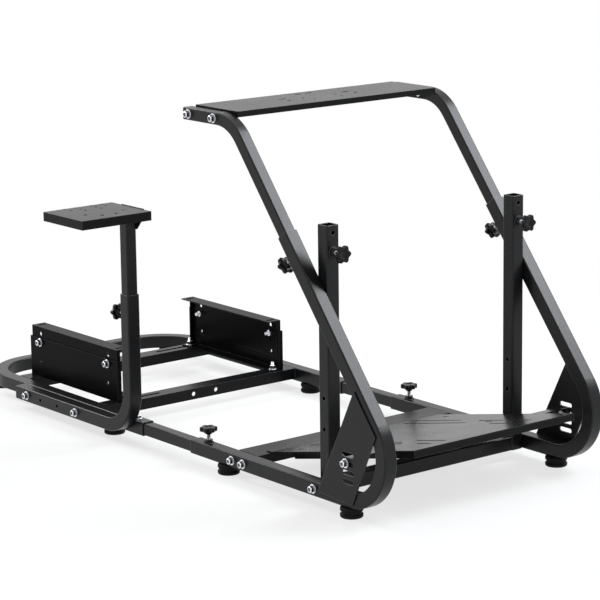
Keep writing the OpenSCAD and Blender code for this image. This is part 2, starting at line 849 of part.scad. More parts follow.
module wheel_plate() {
    half = arm_face_y;
    flange_h = wheel_top - wheel_flange_bottom;
    color("#242527") place() translate([wheel_plate_x, 0, wheel_top]) difference() {
        union() {
            translate([0, 0, -sheet]) linear_extrude(sheet) difference() {
                translate([0, -half]) square([wheel_plate_d, 2 * half]);
                wheel_plate_cuts();
            }
            translate([wheel_plate_d - sheet, -half, -wheel_lip]) cube([sheet, 2 * half, wheel_lip]);
            both_sides() translate([0, -half + sheet, 0]) rotate([90, 0, 0])
                linear_extrude(sheet) polygon([
                    [0, 0], [wheel_plate_d, 0], [wheel_plate_d, -wheel_lip],
                    [wheel_flange_len, -flange_h], [0, -flange_h]
                ]);
        }
        for (x = wheel_bolt_x)
            translate([x - wheel_plate_x, 0, arm_z - wheel_top]) cross_hole(hole_d, 2 * half + 2);
    }
}

module wheel_plate_bolts() {
    color("silver") place() both_sides()
        for (x = wheel_bolt_x)
            translate([x, -rail_y - half_slide, arm_z]) rotate([90, 0, 0])
                hex_bolt(slide_tube + bend_swell + sheet);
}

// Knobs

sleeve_reach = wall + slide_gap - 0.3;

module rail_knob() {
    translate([rail_end_x + knob_inset, -rail_y, rail_top]) star_knob(sleeve_reach);
}

module arm_knob() {
    translate([0, -rail_y, 0]) translate(up_rake(sleeve_len - knob_inset))
        rotate([0, -bend_turn, 0]) translate([0, 0, half_tube]) star_knob(sleeve_reach);
}

module post_knob() {
    translate([post_x + half_tube, -post_y, post_top - knob_inset - 8])
        rotate([0, 90, 0]) star_knob(sleeve_reach);
}

module right_rail_knob() {
    color("#0c0c0d") place() rail_knob();
}

module left_rail_knob() {
    color("#0c0c0d") place() mirror([0, 1, 0]) rail_knob();
}

module right_arm_knob() {
    color("#0c0c0d") place() arm_knob();
}

module left_arm_knob() {
    color("#0c0c0d") place() mirror([0, 1, 0]) arm_knob();
}

module right_post_knob() {
    color("#0c0c0d") place() post_knob();
}

module left_post_knob() {
    color("#0c0c0d") place() mirror([0, 1, 0]) post_knob();
}

module shifter_knob() {
    color("#0c0c0d") place()
        translate([shifter_x - half_tube, shifter_y, shifter_sleeve_top - knob_inset])
            rotate([0, -90, 0]) star_knob(sleeve_reach);
}

right_side_tube();
left_side_tube();
right_gusset();
left_gusset();
right_monitor_post();
left_monitor_post();
front_cross_tube();
heel_cross_channel();
pedal_plate();
right_pedal_bracket();
left_pedal_bracket();
front_frame_feet();
front_frame_bolts();
front_weld_nuts();
seat_base_tube();
right_inner_rail();
left_inner_rail();
rear_seat_channel();
front_seat_channel();
right_bracket_lower();
right_bracket_upper();
left_bracket_lower();
left_bracket_upper();
seat_base_feet();
seat_base_bolts();
bracket_bolts();
shifter_tube();
shifter_weld_nut();
shifter_post();
shifter_plate();
shifter_side_bracket();
shifter_bolts();
right_wheel_arm();
left_wheel_arm();
wheel_plate();
wheel_plate_bolts();
right_rail_knob();
left_rail_knob();
right_arm_knob();
left_arm_knob();
right_post_knob();
left_post_knob();
shifter_knob();
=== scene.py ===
"""Looks of a sim racing cockpit frame, laid out as a Blender add-on."""
import math

import bmesh
import bpy
from mathutils import Matrix, Vector


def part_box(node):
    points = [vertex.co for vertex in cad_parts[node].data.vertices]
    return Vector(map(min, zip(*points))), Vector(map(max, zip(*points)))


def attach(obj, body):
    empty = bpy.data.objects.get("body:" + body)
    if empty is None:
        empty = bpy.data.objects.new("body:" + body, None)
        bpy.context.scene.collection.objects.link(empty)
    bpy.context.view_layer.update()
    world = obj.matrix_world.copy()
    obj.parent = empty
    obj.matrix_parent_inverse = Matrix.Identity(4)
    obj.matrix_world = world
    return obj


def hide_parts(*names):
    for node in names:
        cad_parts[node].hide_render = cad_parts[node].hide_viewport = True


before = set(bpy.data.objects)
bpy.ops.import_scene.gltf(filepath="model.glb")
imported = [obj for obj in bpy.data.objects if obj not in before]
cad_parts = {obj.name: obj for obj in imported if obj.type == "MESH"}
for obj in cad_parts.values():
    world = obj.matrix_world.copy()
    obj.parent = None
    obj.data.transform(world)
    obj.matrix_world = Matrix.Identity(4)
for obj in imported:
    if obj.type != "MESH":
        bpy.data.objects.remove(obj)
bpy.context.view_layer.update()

bl_info = {
    "name": "Sim racing cockpit looks",
    "version": (1, 0, 0),
    "blender": (4, 5, 0),
    "location": "View3D > Sidebar > Cockpit",
    "description": "Powder coat, fasteners, knobs, feet, welds and studio for a cockpit frame",
    "category": "Object",
}

MM = 0.001
WHITE = (1.0, 1.0, 1.0)

# Camera fitted to the photograph, in metres
CAMERA_PLACE = Vector((4.24778, -3.16138, 1.45080))
CAMERA_RIGHT = Vector((0.620882, 0.783799, -0.012822))
CAMERA_UP = Vector((-0.159229, 0.142114, 0.976959))
CAMERA_BACK = Vector((0.767562, -0.604535, 0.213039))
SENSOR_WIDTH = 36.0

# Sizes and heights shared with the CAD, in millimetres
SIDE_SHIFT = 82.2
HALF_WIDTH = 289.0
RAIL_AXIS = 274.0
RAIL_HEIGHT = 36.0
RAIL_TOP = 51.0
TUBE = 30.0
SLIDE_TUBE = 25.4
SHEET = 2.5
GUSSET = 3.0
WELD_NUT = 7.0
WELD_NUT_WIDTH = 17.6
STEM_REACH = 2.0
HALF_STEM = 4.0
FOOT_RADIUS = 23.0
BASE_BEND = 125.0
CORNER_AXIS = RAIL_AXIS - BASE_BEND + BASE_BEND * math.sin(math.radians(45.0))
RAKE = math.radians(51.0)
PEDAL_PITCH = math.radians(12.0)

# Bolt places, in millimetres from the edge or the middle that each comment names
HEEL_BOLTS = (-19.0, 18.0)  # from the middle of the heel channel
SLOT_BOLT = (325.0, 10.0)  # along and below the pedal plate, from its heel edge
LEG_BOLTS = (45.0, 243.0)  # from the rear face of the shifter tube
RAIL_SCREW = 36.0  # from the front end of the seat base
RAIL_SCREW_GRIP = 5.3
BRACKET_BOLTS = (-136.5, 136.5)  # from the middle of a seat bracket
BRACKET_WALL = 231.0  # from the middle plane
BRACKET_BOLT_RISE = 81.0  # from the top of the rail
CHANNEL_BOLT = 209.0  # from the middle plane
SHIFTER_FACE = 291.3  # from the middle plane
SHIFTER_BOLT_DROP = 32.0  # from the top of the shifter's side bracket
SHIFTER_WALL = 2.0
ARM_BOLTS = (18.0, 102.0)  # from the rear end of a wheel arm
BRACKET_TAIL = 9.0  # thread proud of a bracket bolt's inner nut
CHANNEL_TIP = 8.0  # thread proud of a channel bolt's upper nut

# Heights on a fastener above its seat, and its small sizes, in millimetres
WASHER_THICK = 1.6
WASHER_ROUND = 0.3
HEAD_TOP = 6.9
NUT_TOP = 9.0
BACK_NUT_TOP = 5.3
LONG_BACK_NUT_TOP = 6.3
NUT_FOOT = 0.3
THREAD_PITCH = 1.25
THREAD_DEPTH = 0.62
STEM_THREAD = 3.98

# Welds, in millimetres
BEAD_RIPPLE = 1.5
CHANNEL_BEAD = 1.4
CROSS_BEAD = 1.6
NUT_BEAD = 3.2

# A knob's head as shares of its height and radius, from its underside up
STAR_SHAPE = (
    (0.0, 0.36), (0.0, 0.92), (0.04, 0.97), (0.12, 1.0), (0.84, 1.0), (0.94, 0.97),
    (0.99, 0.91), (1.0, 0.84), (1.0, 0.6), (0.95, 0.52), (0.86, 0.46), (0.84, 0.16),
)
# A foot as radius and height in millimetres, from the floor up
FOOT_SHAPE = (
    (0.3, 0.4), (8.0, 0.4), (9.0, 0.0), (20.0, 0.0), (21.4, 0.3), (22.4, 1.2), (22.9, 2.6),
    (23.0, 6.4), (22.6, 7.1), (21.0, 7.7), (20.6, 8.6), (20.6, 12.2), (21.0, 13.2), (22.6, 13.8),
    (23.0, 14.5), (23.0, 18.6), (22.6, 20.0), (21.6, 20.8), (20.2, 21.0), (0.3, 21.0),
)

# Each knob's node, its own body, the body that carries its nut, and its way out of the tube
SLANT = (-math.sin(RAKE), 0.0, -math.cos(RAKE))
KNOBS = (
    ("right_rail_knob", "right_rail_clamp", "front_frame", (0, 0, 1)),
    ("left_rail_knob", "left_rail_clamp", "front_frame", (0, 0, 1)),
    ("right_arm_knob", "right_arm_clamp", "front_frame", SLANT),
    ("left_arm_knob", "left_arm_clamp", "front_frame", SLANT),
    ("right_post_knob", "right_post_clamp", "front_frame", (1, 0, 0)),
    ("left_post_knob", "left_post_clamp", "front_frame", (1, 0, 0)),
    ("shifter_knob", "shifter_clamp", "seat_base", (-1, 0, 0)),
)

# Each soft box's name, place, aim, width, power setting and colour, in metres
SOFT_BOXES = (
    ("key_box", (2.0, 2.77, 3.72), (0.35, 0.05, 0.55), 2.3, "key", (0.93, 0.97, 1.0)),
    ("top_box", (-0.2, -0.4, 3.2), (0.0, 0.0, 0.1), 2.4, "top", WHITE),
    ("front_box", (4.2, -4.2, 0.8), (0.0, 0.0, 0.3), 1.5, "front", WHITE),
    ("edge_box", (-2.7, -0.75, 2.1), (0.0, 0.0, 0.1), 1.2, "rim", WHITE),
)
ROOM_COLOUR = (0.95, 0.97, 1.0)
FLOOR_REACH = 9.0

TUBE_NODES = (
    "right_side_tube", "left_side_tube", "right_monitor_post", "left_monitor_post",
    "front_cross_tube", "seat_base_tube", "right_inner_rail", "left_inner_rail",
    "shifter_tube", "shifter_post", "right_wheel_arm", "left_wheel_arm",
    "front_weld_nuts", "shifter_weld_nut", "right_gusset", "left_gusset",
)
SHEET_NODES = (
    "heel_cross_channel", "pedal_plate",
    "right_pedal_bracket", "left_pedal_bracket", "rear_seat_channel",
    "front_seat_channel", "shifter_plate", "shifter_side_bracket", "wheel_plate",
)
BRACKET_NODES = (
    "right_bracket_lower", "right_bracket_upper", "left_bracket_lower", "left_bracket_upper",
)


# Shaders

class Value:
    """A shader socket that takes part in Python arithmetic."""

    def __init__(self, tree, socket):
        self.tree = tree
        self.socket = socket

    def _math(self, operation, other, swapped=False, clamp=False):
        pair = (other, self) if swapped else (self, other)
        return self.tree.value("ShaderNodeMath", 0, {"operation": operation, "use_clamp": clamp},
                               {0: pair[0], 1: pair[1]})

    def __add__(self, other):
        return self._math("ADD", other)

    __radd__ = __add__

    def __sub__(self, other):
        return self._math("SUBTRACT", other)

    def __rsub__(self, other):
        return self._math("SUBTRACT", other, swapped=True)

    def __mul__(self, other):
        return self._math("MULTIPLY", other)

    __rmul__ = __mul__

    def clamped(self):
        return self._math("ADD", 0.0, clamp=True)


class NodeTree:
    """A node tree whose nodes all come from one method."""

    def __init__(self, tree, output):
        self.tree = tree
        self.tree.nodes.clear()
        self.output = self.node(output)

    def node(self, kind, settings=None, inputs=None):
        """A node of one kind: its settings first, then its sockets' values or links."""
        made = self.tree.nodes.new(kind)
        for key, setting in (settings or {}).items():
            setattr(made, key, setting)
        for key, value in (inputs or {}).items():
            self.feed(made.inputs[key], value)
        return made

    def feed(self, socket, value):
        """Links a socket to a value or another socket, or sets it to a constant."""
        if isinstance(value, Value):
            self.tree.links.new(value.socket, socket)
        elif isinstance(value, bpy.types.NodeSocket):
            self.tree.links.new(value, socket)
        else:
            socket.default_value = value

    def value(self, kind, output=0, settings=None, inputs=None):
        return Value(self, self.node(kind, settings, inputs).outputs[output])

    def seen(self):
        """1 where the camera looks, straight or by a mirror or glass; 0 for diffuse light."""
        rays = self.node("ShaderNodeLightPath").outputs
        camera = Value(self, rays["Is Camera Ray"])
        return (camera + Value(self, rays["Is Glossy Ray"])
                + Value(self, rays["Is Transmission Ray"])).clamped()

    def blend(self, factor, first, second):
        """The first surface where the factor is 0, the second where it is 1."""
        return self.node("ShaderNodeMixShader", {},
                         {0: factor, 1: first.outputs[0], 2: second.outputs[0]})

    def finish(self, surface):
        self.feed(self.output.inputs["Surface"], surface.outputs[0])


class Shader(NodeTree):
    """Builds one material."""

    def __init__(self, name):
        self.material = bpy.data.materials.new(name)
        self.material.use_nodes = True
        super().__init__(self.material.node_tree, "ShaderNodeOutputMaterial")

    def place(self):
        """Position on the object in metres, the same in every view."""
        return self.node("ShaderNodeTexCoord").outputs["Object"]

    def noise(self, scale, detail, roughness, stretch=None):
        where = self.place()
        if stretch:
            mapping = self.node("ShaderNodeMapping", {}, {"Vector": where, "Scale": stretch})
            where = mapping.outputs[0]
        return self.value("ShaderNodeTexNoise", "Fac", {}, {
            "Vector": where, "Scale": scale, "Detail": detail, "Roughness": roughness,
        })

    def cells(self, scale):
        return self.value("ShaderNodeTexVoronoi", "Distance", {"feature": "F1"},
                          {"Vector": self.place(), "Scale": scale})

    def ramp(self, factor, low, high):
        """A factor stretched so that low gives 0 and high gives 1."""
        return self.value("ShaderNodeMapRange", 0, {"clamp": True},
                          {"Value": factor, "From Min": low, "From Max": high})

    def mix_colour(self, factor, first, second):
        node = self.node("ShaderNodeMix", {"data_type": "RGBA"})
        self.feed(node.inputs["Factor"], factor)
        colours = [socket for socket in node.inputs if socket.type == "RGBA"]
        self.feed(colours[0], first)
        self.feed(colours[1], second)
        return next(socket for socket in node.outputs if socket.type == "RGBA")

    def rounded(self, radius):
        """The surface's normal with its sharp edges rounded."""
        return self.node("ShaderNodeBevel", {"samples": 6}, {"Radius": radius}).outputs[0]

    def edges(self, soft_normal):
        """1 along a rounded edge, 0 on a flat face."""
        flat = self.node("ShaderNodeNewGeometry").outputs["Normal"]
        along = self.value("ShaderNodeVectorMath", "Value", {"operation": "DOT_PRODUCT"},
                           {0: soft_normal, 1: flat})
        return self.ramp(1 - along, low=0.01, high=0.16)

    def bump(self, height, strength, distance, normal):
        return self.node("ShaderNodeBump", {}, {
            "Height": height, "Strength": strength, "Distance": distance, "Normal": normal,
        }).outputs[0]

    def principled(self, inputs):
        return self.node("ShaderNodeBsdfPrincipled", {}, inputs)

    def finish(self, surface):
        super().finish(surface)
        return self.material


def rgb(colour, factor=1.0):
    """A colour with its alpha, made darker or lighter by a factor."""
    return (colour[0] * factor, colour[1] * factor, colour[2] * factor, 1.0)


def powder_coat(name, colour, peel, roughness, specular, edge_radius, edge_wear_and_highlight):
    """Satin powder coat: orange peel, faint cloudiness and paler edges, which are partly wear and
    partly a painted highlight.
    """
    shader = Shader(name)
    soft = shader.rounded(edge_radius)
    edge = shader.edges(soft)
    cloud = shader.noise(scale=9.0, detail=4.0, roughness=0.6)
    specks = shader.noise(scale=1500.0, detail=2.0, roughness=0.5)
    speck = shader.ramp(specks, low=0.62, high=0.75)
    scuffs = shader.noise(scale=60.0, detail=6.0, roughness=0.7, stretch=(1.0, 1.0, 0.15))
    scuff = shader.ramp(scuffs, low=0.64, high=0.78)
    base = shader.mix_colour(cloud, rgb(colour, 0.82), rgb(colour, 1.2))
    base = shader.mix_colour(speck * 0.35, base, rgb(colour, 1.7))
    # Edges painted paler: partly scuffed wear, partly a painted highlight along the rounded edges.
    base = shader.mix_colour(edge * (0.6 + 0.4 * scuff), base, rgb(colour, edge_wear_and_highlight))
    coarse = shader.noise(scale=peel, detail=3.0, roughness=0.55)
    fine = shader.noise(scale=peel * 3.2, detail=2.0, roughness=0.5)
    grain = coarse + 0.35 * fine
    return shader.finish(shader.principled({
        "Base Color": base,
        "Roughness": roughness + 0.09 * (cloud - 0.5) + 0.1 * scuff - 0.05 * edge,
        "Specular IOR Level": specular,
        "Coat Roughness": 0.3,
        "Coat Weight": 0.05 - 0.03 * scuff + 0.7 * edge,
        "Normal": shader.bump(grain, strength=0.16, distance=0.0004, normal=soft),
    }))


def zinc(name, colour):
    """Bright zinc plate with a faint bluish bloom and fine turning marks."""
    shader = Shader(name)
    soft = shader.rounded(0.0004)
    bloom = shader.noise(scale=130.0, detail=4.0, roughness=0.6)
    marks = shader.noise(scale=2600.0, detail=2.0, roughness=0.5, stretch=(1.0, 1.0, 0.2))
    bluish = (colour[0], colour[1] * 1.01, colour[2] * 1.05)
    return shader.finish(shader.principled({
        "Base Color": shader.mix_colour(bloom, rgb(colour, 0.86), rgb(bluish)),
        "Metallic": 1.0,
        "Roughness": 0.2 + 0.16 * bloom + 0.05 * marks,
        "Normal": shader.bump(marks, strength=0.12, distance=0.0002, normal=soft),
    }))


def moulded(name, colour, grain_scale, roughness, strength, specular):
    """Moulded rubber or plastic with a fine spark-eroded grain."""
    shader = Shader(name)
    soft = shader.rounded(0.0006)
    edge = shader.edges(soft)
    cloud = shader.noise(scale=40.0, detail=4.0, roughness=0.6)
    pits = shader.cells(grain_scale * 0.6)
    grain = shader.noise(scale=grain_scale, detail=3.0, roughness=0.6) + 0.4 * pits
    base = shader.mix_colour(cloud, rgb(colour, 0.8), rgb(colour, 1.3))
    base = shader.mix_colour(edge * 0.5, base, rgb(colour, 2.0))
    return shader.finish(shader.principled({
        "Base Color": base,
        "Roughness": roughness + 0.12 * (cloud - 0.5),
        "Specular IOR Level": specular,
        "Normal": shader.bump(grain, strength, distance=0.0003, normal=soft),
    }))


def seen_white(name, colour, share):
    """Pale matt floor that the camera sees run out into plain white."""
    shader = Shader(name)
    tone = shader.noise(scale=3.0, detail=3.0, roughness=0.5)
    paper = shader.principled({
        "Base Color": shader.mix_colour(tone, rgb(colour, 0.99), rgb(colour, 1.01)),
        "Roughness": 0.8,
        "Specular IOR Level": 0.1,
    })
    glow = shader.node("ShaderNodeEmission", {}, {"Color": rgb(WHITE), "Strength": 1.0})
    away = shader.value("ShaderNodeVectorMath", "Value", {"operation": "LENGTH"},
                        {0: shader.place()})
    far = shader.ramp(away, low=0.8, high=1.9)
    return shader.finish(shader.blend(shader.seen() * (share + (1.0 - share) * far), paper, glow))


# Meshes

def row(x, y, z):
    """A place given in millimetres, with y from the cockpit's own middle plane."""
    return Vector((x, y + SIDE_SHIFT, z)) * MM


def aim(direction):
    """Rotation that turns +Z onto a direction."""
    return Vector(direction).to_track_quat("Z", "Y").to_matrix().to_4x4()


def turned(radius, turn, height, matrix):
    """A point round a matrix's Z axis, from millimetres."""
    return matrix @ (Vector((radius * math.cos(turn), radius * math.sin(turn), height)) * MM)


def join_loops(mesh, loops):
    """Skins each loop of points to the next."""
    for below, above in zip(loops, loops[1:]):
        for step in range(len(below)):
            after = (step + 1) % len(below)
            mesh.faces.new((below[step], below[after], above[after], above[step]))


def rings(mesh, outline, count, levels):
    """Skins and closes rings of points: outline(turn, level) gives each place."""
    loops = []
    for level in range(levels):
        loops.append([mesh.verts.new(outline(2 * math.pi * step / count, level))
                      for step in range(count)])
    join_loops(mesh, loops)
    mesh.faces.new(list(reversed(loops[0])))
    mesh.faces.new(loops[-1])


def lathe(mesh, profile, count, matrix):
    """Turns a closed profile of (radius, height) in millimetres about Z."""
    loops = []
    for radius, height in profile:
        loops.append([mesh.verts.new(turned(radius, 2 * math.pi * step / count, height, matrix))
                      for step in range(count)])
    loops.append(loops[0])
    join_loops(mesh, loops)


def hex_block(mesh, across, low, high, matrix, chamfer_low):
    """A hexagon with the rounded corners that its chamfer leaves."""
    flat = across / 2
    corner = flat / math.cos(math.pi / 6)
    narrow = flat * 0.97
    rise = (corner - flat) * 0.58
    steps = 4
    levels = [(low, corner)]
    if chamfer_low:
        levels = [(low + rise * index / steps, narrow + (corner - narrow) * index / steps)
                  for index in range(steps + 1)]
    levels += [(high - rise * (steps - index) / steps, corner - (corner - narrow) * index / steps)
               for index in range(steps + 1)]

    def outline(turn, level):
        inside = (turn + math.pi / 6) % (math.pi / 3) - math.pi / 6
        height, cone = levels[level]
        return turned(min(flat / math.cos(inside), cone), turn, height, matrix)

    rings(mesh, outline, 48, len(levels))


def threaded_end(mesh, radius, low, high, matrix):
    """The end of a bolt, with its thread as a helical wave."""
    per_turn = 8
    levels = max(3, int((high - low) / THREAD_PITCH * per_turn))

    def outline(turn, level):
        height = low + (high - low) * level / (levels - 1)
        wave = abs(((height / THREAD_PITCH - turn / (2 * math.pi)) % 1.0) * 2 - 1)
        fade = min(1.0, (high - height) / (THREAD_PITCH * 0.5))
        size = (radius - THREAD_DEPTH * wave) * (0.86 + 0.14 * fade)
        return turned(size, turn, height, matrix)

    rings(mesh, outline, 24, levels)


def make_object(name, mesh, material, smooth_angle=35.0):
    """An object from a mesh, with edges sharper than the angle kept sharp."""
    data = bpy.data.meshes.new(name)
    bmesh.ops.recalc_face_normals(mesh, faces=mesh.faces)
    limit = math.radians(smooth_angle)
    for face in mesh.faces:
        face.smooth = True
    for edge in mesh.edges:
        if len(edge.link_faces) == 2:
            edge.smooth = edge.calc_face_angle(0.0) < limit
    mesh.to_mesh(data)
    mesh.free()
    made = bpy.data.objects.new(name, data)
    bpy.context.scene.collection.objects.link(made)
    data.materials.append(material)
    return made


def tint_new(mesh, before, slot):
    """Gives each face that isn't in the set from before the material slot that a rule names."""
    for face in mesh.faces:
        if face not in before:
            face.normal_update()
            face.material_index = slot(face)


def washer(mesh, matrix):
    """A washer with rounded rims, seated at the matrix's origin."""
    bolt = bpy.context.scene.cockpit_fasteners
    rim = bolt.washer / 2 / MM
    bore = bolt.shank / 2 / MM + 0.1
    top = WASHER_THICK
    lathe(mesh, [(bore, 0.0), (rim - WASHER_ROUND, 0.0), (rim, WASHER_ROUND),
                 (rim, top - WASHER_ROUND), (rim - WASHER_ROUND, top), (bore, top)], 48, matrix)


def shank(mesh, radius, low, high, matrix):
    """A plain round length of a bolt, with a hairline bore."""
    bore = 0.2
    lathe(mesh, [(bore, low), (radius, low), (radius, high), (bore, high)], 24, matrix)


def hex_bolt(mesh, place, direction, grip, with_nut=True, tip=0.0, tail=0.0):
    """A bolt through a grip; tip and tail are the thread proud of its outer and inner nut."""
    bolt = bpy.context.scene.cockpit_fasteners
    across = bolt.across / MM
    radius = bolt.shank / 2 / MM
    matrix = Matrix.Translation(place) @ aim(direction)
    way = Vector(direction)
    washer(mesh, matrix)
    before = set(mesh.faces)
    hex_block(mesh, across, WASHER_THICK, NUT_TOP if with_nut else HEAD_TOP, matrix, True)
    # Hex sides take the dark zinc slot and the ends the bright one: painted shade on the sides.
    tint_new(mesh, before, lambda face: 0 if abs(face.normal.dot(way)) > 0.4 else 1)
    if not with_nut:
        shank(mesh, radius, -grip, WASHER_THICK + 0.1, matrix)
        return
    collar(mesh, radius + 0.5, across / 2, matrix)
    before = set(mesh.faces)
    threaded_end(mesh, radius, NUT_TOP - 2.2, NUT_TOP + 0.9 + tip, matrix)
    # A thread end without a tip takes the dark zinc slot: painted shade in the thread.
    tint_new(mesh, before, lambda face: 0 if tip else 1)
    shank(mesh, radius, -grip - 0.4, WASHER_THICK + 0.2, matrix)
    under = matrix @ Matrix.Translation((0.0, 0.0, -grip * MM)) @ Matrix.Rotation(math.pi, 4, "X")
    back_nut(mesh, radius, across, tail, under)


def collar(mesh, bore, flat, matrix):
    """The raised collar on top of a lock nut."""
    lathe(mesh, [(bore, NUT_TOP - 0.1), (flat * 0.86, NUT_TOP - 0.1), (flat * 0.8, NUT_TOP + 0.5),
                 (flat * 0.72, NUT_TOP + 0.8), (bore, NUT_TOP + 0.7)], 40, matrix)


def back_nut(mesh, radius, across, tail, matrix):
    """The nut on the inner side of a grip, on its round foot, with the thread's tail."""
    top = LONG_BACK_NUT_TOP if tail else BACK_NUT_TOP
    hex_block(mesh, across, NUT_FOOT, top, matrix, bool(tail))
    rim = across / 2 * 0.96
    bore = 0.4
    foot = NUT_FOOT + 0.05
    lathe(mesh, [(bore, 0.0), (rim, 0.0), (rim, foot), (bore, foot)], 48, matrix)
    if tail:
        threaded_end(mesh, radius, top - 1.8, top + tail, matrix)


def star_head(mesh, matrix, radius, low, high, lobes):
    """Moulded star head: rounded lobes, soft rims and a dished top."""

    def outline(turn, level):
        rise, reach = STAR_SHAPE[level]
        wave = 0.5 + 0.5 * math.cos(lobes * turn)
        share = 0.77 + 0.23 * wave ** 0.9 if reach > 0.7 else 0.8
        return turned(radius * reach * share, turn, low + (high - low) * rise, matrix)

    rings(mesh, outline, lobes * 12, len(STAR_SHAPE))


def star_knob(name, body, place, direction):
    """A star knob on its plated stem, standing off the tube's weld nut."""
    knob = bpy.context.scene.cockpit_knobs
    width = knob.diameter / MM
    neck = knob.neck / MM
    height = knob.head / MM
    matrix = Matrix.Translation(place) @ aim(direction)
    top = WELD_NUT + neck + height
    under = top - height * 0.8
    mesh = bmesh.new()
    star_head(mesh, matrix, width / 2, under, top, knob.lobes)
    hub = under - neck * 0.38
    wide = width * 0.27
    narrow = width * 0.19
    bore = 4.1
    lathe(mesh, [(bore, hub), (narrow - 0.6, hub), (narrow, hub + 0.6), (wide * 0.92, under - 0.8),
                 (wide, under + 0.8), (bore, under + 0.8)], 48, matrix)
    head = make_object(name + "_head", mesh, MATERIALS["plastic"], 50.0)
    mesh = bmesh.new()
    threaded_end(mesh, STEM_THREAD, -STEM_REACH, hub + 0.6, matrix)
    # Stem in the darker zinc of painted shade.
    stem = make_object(name + "_stem", mesh, MATERIALS["stem"], 40.0)
    for piece in (head, stem):
        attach(piece, body)
        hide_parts(name)


def rubber_foot(mesh, place):
    """Screw-on rubber foot with rounded rims and two grooves."""
    lathe(mesh, FOOT_SHAPE, 64, Matrix.Translation(place))


def weld_ring(mesh, place, direction, radius, size):
    """A run of weld round the foot of a nut, in millimetres."""
    matrix = Matrix.Translation(place) @ aim(direction)
    ripples = 22
    levels = 9

    def outline(turn, level):
        lean = math.pi * level / (levels - 1)
        bulge = size * (0.84 + 0.16 * abs(math.sin(ripples * turn / 2)))
        height = bulge * math.sin(lean) * 0.8 - 0.3
        return turned(radius + bulge * math.cos(lean), turn, height, matrix)

    rings(mesh, outline, ripples * 6, levels)


def weld_bead(mesh, start, end, size):
    """A run of weld: overlapping scales along a line, in millimetres."""
    start, end = Vector(start), Vector(end)
    length = (end - start).length
    matrix = Matrix.Translation(start * MM) @ aim(end - start)
    levels = max(6, int(length / BEAD_RIPPLE * 4))

    def outline(turn, level):
        along = level / (levels - 1)
        wave = abs(math.sin(math.pi * along * length / BEAD_RIPPLE))
        taper = min(1.0, along * length / size, (1 - along) * length / size)
        radius = size * (0.78 + 0.22 * wave) * math.sqrt(max(0.04, taper))
        return turned(radius, turn, along * length, matrix)

    rings(mesh, outline, 10, levels)


# Places, in millimetres, from the nodes' boxes

def middle(node):
    """The middle of a node along the cockpit."""
    low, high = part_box(node)
    return (low[0] + high[0]) / 2 / MM


def bolt_at(x, y, z, direction, grip, **ends):
    """What hex_bolt needs for one bolt; y is from the middle plane."""
    return {"place": row(x, y, z), "direction": direction, "grip": grip, **ends}


def front_frame_bolts():
    """The bolts of the heel channel, the monitor posts and the gusset slots, on both sides."""
    along, below = SLOT_BOLT
    heel_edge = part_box("heel_cross_channel")[1][0] / MM
    slot_x = heel_edge + along * math.cos(PEDAL_PITCH) + below * math.sin(PEDAL_PITCH)
    slot_z = RAIL_TOP + SHEET + along * math.sin(PEDAL_PITCH) - below * math.cos(PEDAL_PITCH)
    bolts = []
    for side in (-1, 1):
        out = (0, side, 0)
        face = side * HALF_WIDTH
        for reach in HEEL_BOLTS:
            x = middle("heel_cross_channel") + reach
            bolts.append(bolt_at(x, face, RAIL_HEIGHT, out, TUBE + SHEET))
        bolts.append(bolt_at(middle("right_monitor_post"), face, RAIL_HEIGHT, out, 2 * TUBE))
        bolts.append(bolt_at(slot_x, face + side * GUSSET, slot_z, out, GUSSET + SHEET))
    return bolts


def seat_base_bolts():
    """The shifter leg's two bolts and the screw on top of each rail's front end."""
    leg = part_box("shifter_tube")[0][0] / MM
    rail_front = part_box("seat_base_tube")[1][0] / MM
    bolts = [bolt_at(leg + reach, -HALF_WIDTH - TUBE, RAIL_HEIGHT, (0, -1, 0), 2 * TUBE)
             for reach in LEG_BOLTS]
    for side in (-1, 1):
        bolts.append(bolt_at(rail_front - RAIL_SCREW, side * RAIL_AXIS, RAIL_TOP, (0, 0, 1),
                             RAIL_SCREW_GRIP, with_nut=False))
    return bolts


def bracket_bolts():
    """The bolts that join each side's two brackets, and those in the seat channels' slots."""
    bolts = []
    for side in (-1, 1):
        for reach in BRACKET_BOLTS:
            bolts.append(bolt_at(middle("right_bracket_lower") + reach, side * BRACKET_WALL,
                                 RAIL_TOP + BRACKET_BOLT_RISE, (0, side, 0), 2 * SHEET,
                                 tail=BRACKET_TAIL))
        for channel in ("rear_seat_channel", "front_seat_channel"):
            bolts.append(bolt_at(middle(channel), side * CHANNEL_BOLT, RAIL_TOP + SHEET, (0, 0, 1),
                                 2 * SHEET, tip=CHANNEL_TIP))
    return bolts


def shifter_bolts():
    """The one bolt between the shifter's post and its side bracket."""
    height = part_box("shifter_side_bracket")[1][2] / MM - SHIFTER_BOLT_DROP
    return [bolt_at(middle("shifter_post"), -SHIFTER_FACE + SHEET, height, (0, 1, 0),
                    SHIFTER_WALL + SHEET, with_nut=False)]


def wheel_plate_bolts():
    """Two bolts through each wheel arm's upper end."""
    low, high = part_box("right_wheel_arm")
    height = high[2] / MM - SLIDE_TUBE / 2
    bolts = []
    for side in (-1, 1):
        for reach in ARM_BOLTS:
            bolts.append(bolt_at(low[0] / MM + reach, side * (RAIL_AXIS + SLIDE_TUBE / 2), height,
                                 (0, side, 0), SLIDE_TUBE + SHEET))
    return bolts


